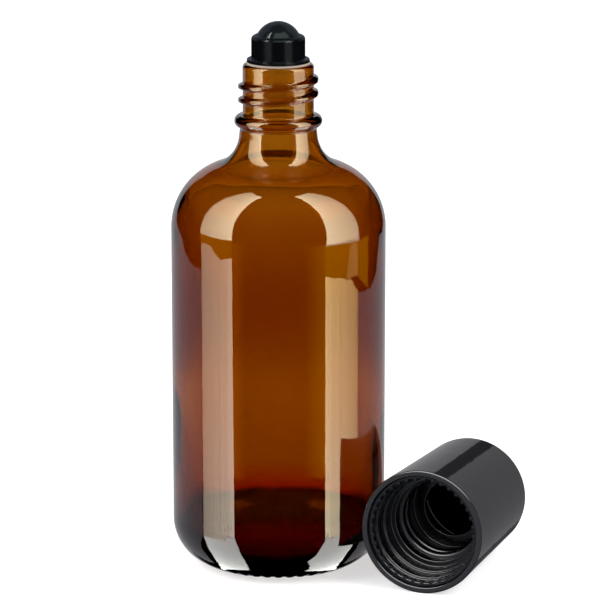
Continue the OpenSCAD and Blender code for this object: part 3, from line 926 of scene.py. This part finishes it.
def glass_studio(seen_in):
    """What the glass mirrors: a tall white panel at each side, over its own reflection in the table, and a
    narrow pale wall behind."""
    upper_light = glow("panel_warm_white", "#fff1c7", 13.5, end_power=5.5)
    near_light = glow("panel_near_neck", "#fff1c7", 11.0, end_power=5.5, clear=False)
    neck_light = glow("panel_seen_in_neck", "#ffeecb", 6.5, end_power=4.5)
    left_gap_light = glow("left_gap_in_amber", "#ffae00", 1.8)
    right_gap_light = glow("right_gap_in_amber", "#ffb800", 2.4, end_power=1.2)
    streak_light = glow("streak_in_gap", "#ffd895", 1.2)
    left_edge_light = glow("left_edge_in_amber", "#ff9000", 1.5, end_power=0.0)
    right_edge_light = glow("right_edge_in_amber", "#ffb400", 0.0, end_power=1.7)
    left_strip_light = glow("left_panel_in_table", "#fff3dc", 7.9, "#ffdeb6", 3.4, 0.16)
    right_strip_light = glow("right_panel_in_table", "#fff0cc", 10.2, "#ffd98a", 3.6, 0.16)
    foot_light = glow("panel_foot", "#fdfffa", 7.0)
    wall_light = glow("wall_pale", "#fbfbff", 0.6)
    table_light = glow("table_pale", "#fbf8ff", 0.6, end_power=0.55)

    left_panel_foot = [(-50, -2.4), (-61, -3.1), (-76, -2.6), (-91, -1.8)]
    left_gap_foot = [(-50.5, -12.8), (-64, -12.83), (-76, -12.61), (-91, -11.2)]
    panel("left_panel", left_panel_foot, [(-53, 75), (-61, 74), (-76, 73), (-98, 72)], upper_light, seen_in)
    panel("right_panel", [(52, -9), (69, -9), (82, -8.5), (95, -9)],
          [(57, 75), (69, 74), (82, 72), (97, 70)], upper_light, seen_in)
    panel("left_gap", left_gap_foot, left_panel_foot, left_gap_light, seen_in)
    panel("left_neck_panel", [(-50, 6.8), (-83, 6.8)], [(-50, 13), (-83, 13)], near_light, seen_in,
          NEAR_PANEL_DISTANCE)
    panel("right_neck_strip", [(52, -10.8), (97, -10.8)], [(52, -9.1), (97, -9.1)], neck_light, seen_in)
    panel("right_gap", [(51.7, -13.1), (95, -13.1), (112, -13.3)], [(52, -10.9), (95, -10.9), (112, -9)],
          right_gap_light, seen_in)
    panel("right_streak", [(78, -13.1), (95, -13.1)], [(89, -11.9), (93, -11.9)], streak_light, seen_in)
    panel("left_edge", [(-49, -16.4), (-36, -16.4)], [(-49, -5), (-36, -5)], left_edge_light, seen_in)
    panel("right_edge", [(28, -16.4), (51.7, -16.4)], [(28, -9), (51.7, -9)], right_edge_light, seen_in)
    panel("left_strip", [(-49, -17.4), (-64, -17.4), (-76, -17.4), (-90, -17.4)], left_gap_foot,
          left_strip_light, seen_in)
    panel("right_strip", [(51.7, -17.4), (83, -17.4), (95, -17.4)],
          [(51.7, -13.1), (83, -13.11), (95, -13.32)], right_strip_light, seen_in)
    panel("left_foot", [(-48, -17.4), (-46, -23), (-47, -35), (-50, -46), (-54, -55), (-61, -62.5),
                        (-81, -70.4), (-109, -73), (-137, -70.5)],
          [(-90, -17.4), (-89, -23.5), (-92, -32), (-100, -44), (-106, -48), (-112, -50.5),
           (-131, -53.7), (-152, -49.4), (-168, -39)], foot_light, seen_in)
    panel("right_foot", [(51.7, -17.4), (49, -23), (49, -35), (50, -46), (50, -55), (52, -62.5),
                         (68, -69), (104, -73), (147, -70)],
          [(95, -17.4), (94, -23.5), (96, -32), (103, -44), (109, -48), (115, -50.5),
           (134, -53.7), (154, -49.4), (168, -39)], foot_light, seen_in)
    panel("left_table", [(-91.2, -18), (-105, -33), (-119, -45), (-130, -48), (-142, -49), (-150, -44)],
          [(-91.2, -12.98), (-105, -12.92), (-118, -12.71), (-126, -12.49), (-142, -5), (-150, 3)],
          table_light, seen_in)
    panel("right_table", [(95, -18), (118, -44), (131, -48), (148, -48), (153, -44)],
          [(95, -13.34), (118, -13.31), (131, -12.94), (148, -11.73), (153, -8)], table_light, seen_in)
    panel("pale_wall", [(153, -34), (159, -34), (169, -34), (180, -34), (204, -34), (210, -34)],
          [(153, -8), (159, 14), (169, 17), (180, 20), (204, 20), (210, 3)], wall_light, seen_in)


def fitment_studio(seen_in):
    """What the ball and its housing mirror: narrow side lights and a soft broad one above the camera."""
    side_light = glow("fitment_side", "#ffffff", 0.5, end_power=0.4)
    high_light = glow("fitment_high", "#f4fffb", 8.0, end_power=6.0)
    front_light = glow("fitment_front", "#e0fff4", 1.1, end_power=0.9)
    back_light = glow("fitment_back", "#dfe8ff", 0.25)
    for side in (-1, 1):
        panel(f"housing_light_{side + 2}", [(side * 29, -35), (side * 62, -35)],
              [(side * 29, 12), (side * 62, 12)], side_light, seen_in)
    panel("ball_left_light", [(-44, 20), (-66, 20)], [(-62, 60), (-70, 60)], high_light, seen_in)
    panel("ball_right_light", [(34, 14), (58, 14)], [(34, 32), (58, 32)], high_light, seen_in)
    panel("ball_front_light", [(-25, 22), (70, 22)], [(-30, 66), (70, 66)], front_light, seen_in)
    panel("ball_back_light", [(100, 0), (260, 0)], [(100, 60), (260, 60)], back_light, seen_in)


def cap_studio(skirt, nibs, barrel_pieces):
    """What the cap mirrors: a grey wall with a dark gap in it, and a light high up that looks into its mouth.
    Two panels at one place would hide each other, so the low ones differ a little at their edges."""
    far_light = glow("cap_far_wall", "#fbfbff", 0.42)
    near_light = glow("cap_near_wall", "#6a6a72", 0.52, top_colour="#fbfbff")
    gap_light = glow("cap_gap", "#f4f6ff", 0.075)
    front_light = glow("cap_front_soft", "#f2f4ff", 0.9)
    inside_light = glow("cap_inside_soft", "#e8eeff", 0.42)
    mouth_light = glow("cap_mouth_light", "#ffffff", 11.0)
    every_piece = [skirt, nibs] + barrel_pieces
    panel("cap_far_wall", [(171, -89), (260, -89)], [(171, 60), (260, 60)], far_light, every_piece)
    panel("cap_dark_gap", [(161, -30), (171, -30)], [(161, 60), (171, 60)], gap_light, every_piece)
    panel("cap_near_wall", [(60, -89), (161, -89)], [(60, 60), (161, 60)], near_light, every_piece)
    panel("cap_low_front", [(-100, -40), (60, -40)], [(-100, -8), (60, -8)], front_light, [skirt])
    panel("cap_low_inside", [(-98, -41), (58, -41)], [(-98, -8), (58, -8)], inside_light,
          [nibs] + barrel_pieces)
    panel("cap_front", [(-100, -8), (60, -8)], [(-100, 34), (60, 34)], front_light, every_piece)
    panel("cap_high_front", [(-110, 34), (60, 34)], [(-110, 85), (60, 85)], mouth_light,
          [skirt] + barrel_pieces)


def white_world():
    """White where the camera looks, also through glass, a soft light for matt surfaces and dark for gloss."""
    world = bpy.data.worlds.new("white_room")
    world.use_nodes = True
    tree = world.node_tree
    tree.nodes.clear()
    rays = add(tree, "ShaderNodeLightPath")
    soft = add(tree, "ShaderNodeBackground", {"Color": linear("#ffffff"), "Strength": SOFT_LIGHT})
    white = add(tree, "ShaderNodeBackground", {"Color": linear("#ffffff"), "Strength": 1.0})
    dark = add(tree, "ShaderNodeBackground", {"Color": linear("#000000"), "Strength": 0.0})
    seen = add(tree, "ShaderNodeMath", {
        0: rays.outputs["Is Camera Ray"], 1: rays.outputs["Is Transmission Ray"],
    }, operation="MAXIMUM").outputs[0]
    gloss = add(tree, "ShaderNodeMixShader", {
        0: rays.outputs["Is Glossy Ray"], 1: soft.outputs[0], 2: dark.outputs[0],
    })
    both = add(tree, "ShaderNodeMixShader", {0: seen, 1: gloss.outputs[0], 2: white.outputs[0]})
    output = add(tree, "ShaderNodeOutputWorld")
    tree.links.new(both.outputs[0], output.inputs["Surface"])
    bpy.context.scene.world = world


def white_floor():
    """A matt white table that keeps the object's shadow and otherwise shows as white."""
    material, tree, output = new_material("matt_white_table")
    rays = add(tree, "ShaderNodeLightPath")
    lift = add(tree, "ShaderNodeMath", {
        0: rays.outputs["Is Camera Ray"], 1: TABLE_LIFT,
    }, operation="MULTIPLY").outputs[0]
    # Through the glass the table is dark up to 52 to 60 mm from the bottle's axis, as in the bottle's shade
    place = add(tree, "ShaderNodeTexCoord").outputs["Object"]
    away = add(tree, "ShaderNodeVectorMath", {0: place}, operation="LENGTH").outputs["Value"]
    under = add(tree, "ShaderNodeMapRange", {0: away, 1: 52 * MM, 2: 60 * MM, 3: 0.95, 4: 0.0}).outputs[0]
    shade = add(tree, "ShaderNodeMath", {
        0: under, 1: rays.outputs["Is Transmission Ray"],
    }, operation="MULTIPLY").outputs[0]
    paint = add(tree, "ShaderNodeMix", {
        0: shade, 6: linear("#efefef"), 7: linear("#000000"),
    }, data_type="RGBA").outputs[2]
    table = add(tree, "ShaderNodeBsdfPrincipled", {
        "Base Color": paint,
        "Roughness": 1.0,
        "Specular IOR Level": 0.0,
        "Emission Color": linear("#ffffff"),
        "Emission Strength": lift,
    })
    tree.links.new(table.outputs[0], output.inputs["Surface"])
    material.cycles.emission_sampling = "NONE"
    mesh = bpy.data.meshes.new("table")
    corners = [(x * TABLE_HALF, y * TABLE_HALF, 0) for x, y in ((-1, -1), (1, -1), (1, 1), (-1, 1))]
    mesh.from_pydata(corners, [], [(0, 1, 2, 3)])
    mesh.materials.append(material)
    obj = bpy.data.objects.new("table", mesh)
    bpy.context.scene.collection.objects.link(obj)
    obj.visible_glossy = False


def lamp(name, azimuth):
    """A soft lamp aimed at the middle of the bottle. The panels stand for it in gloss."""
    data = bpy.data.lights.new(name, "AREA")
    data.shape = "SQUARE"
    data.size = LAMP_SIZE
    data.energy = LAMP_POWER
    obj = bpy.data.objects.new(name, data)
    bpy.context.scene.collection.objects.link(obj)
    away = direction(azimuth, LAMP_RISE)
    obj.location = Vector((0, 0, LIP_Z / 2 * MM)) + away * LAMP_DISTANCE
    obj.rotation_euler = (-away).to_track_quat("-Z", "Y").to_euler()
    obj.visible_glossy = False


def camera():
    """The photograph's camera: 780 mm away, looking 13.5 degrees down."""
    data = bpy.data.cameras.new("camera")
    data.sensor_width = SENSOR
    data.lens = FOCAL_PX / PHOTO_PX * SENSOR
    data.clip_start = 0.05
    data.clip_end = 50
    obj = bpy.data.objects.new("camera", data)
    bpy.context.scene.collection.objects.link(obj)
    obj.location = (VIEW_RIGHT * CAMERA_SIDE - VIEW_AHEAD * CAMERA_BACK + Vector((0, 0, CAMERA_Z))) * MM
    ahead = VIEW_AHEAD * math.cos(VIEW_PITCH) - Vector((0, 0, math.sin(VIEW_PITCH)))
    obj.rotation_euler = ahead.to_track_quat("-Z", "Y").to_euler()
    bpy.context.scene.camera = obj


def build():
    """Makes the pieces of the object, then the room, the light and the camera."""
    glass = amber_glass()
    fitment = black_plastic("black_polypropylene_fitment", "#08090b", roughness=0.2, level=0.4, grain=0.1)
    polished = black_plastic("black_polished_ball", "#14191b", roughness=0.12, level=0.5)
    cap = black_plastic("black_polypropylene_cap", "#0b0b0d", roughness=0.08, level=0.5, grain=0.1)
    inner = black_plastic("black_polypropylene_insert", "#060608", roughness=0.22, level=0.5)

    bottle = glass_bottle(glass)
    roller = [roller_housing(fitment), roller_ball(polished)]
    skirt = cap_shell(cap)
    barrel_pieces = [cap_insert(inner), inner_thread(inner)]
    nibs = nib_ring(inner)

    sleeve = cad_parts["sealing_sleeve"]
    sleeve.data.materials.clear()
    sleeve.data.materials.append(natural_plastic())

    white_floor()
    white_world()
    glass_studio([bottle])
    fitment_studio(roller)
    cap_studio(skirt, nibs, barrel_pieces)
    lamp("lamp_left", -LAMP_TURN)
    lamp("lamp_right", LAMP_TURN)
    camera()
    bpy.context.scene.view_settings.view_transform = "Standard"


build()
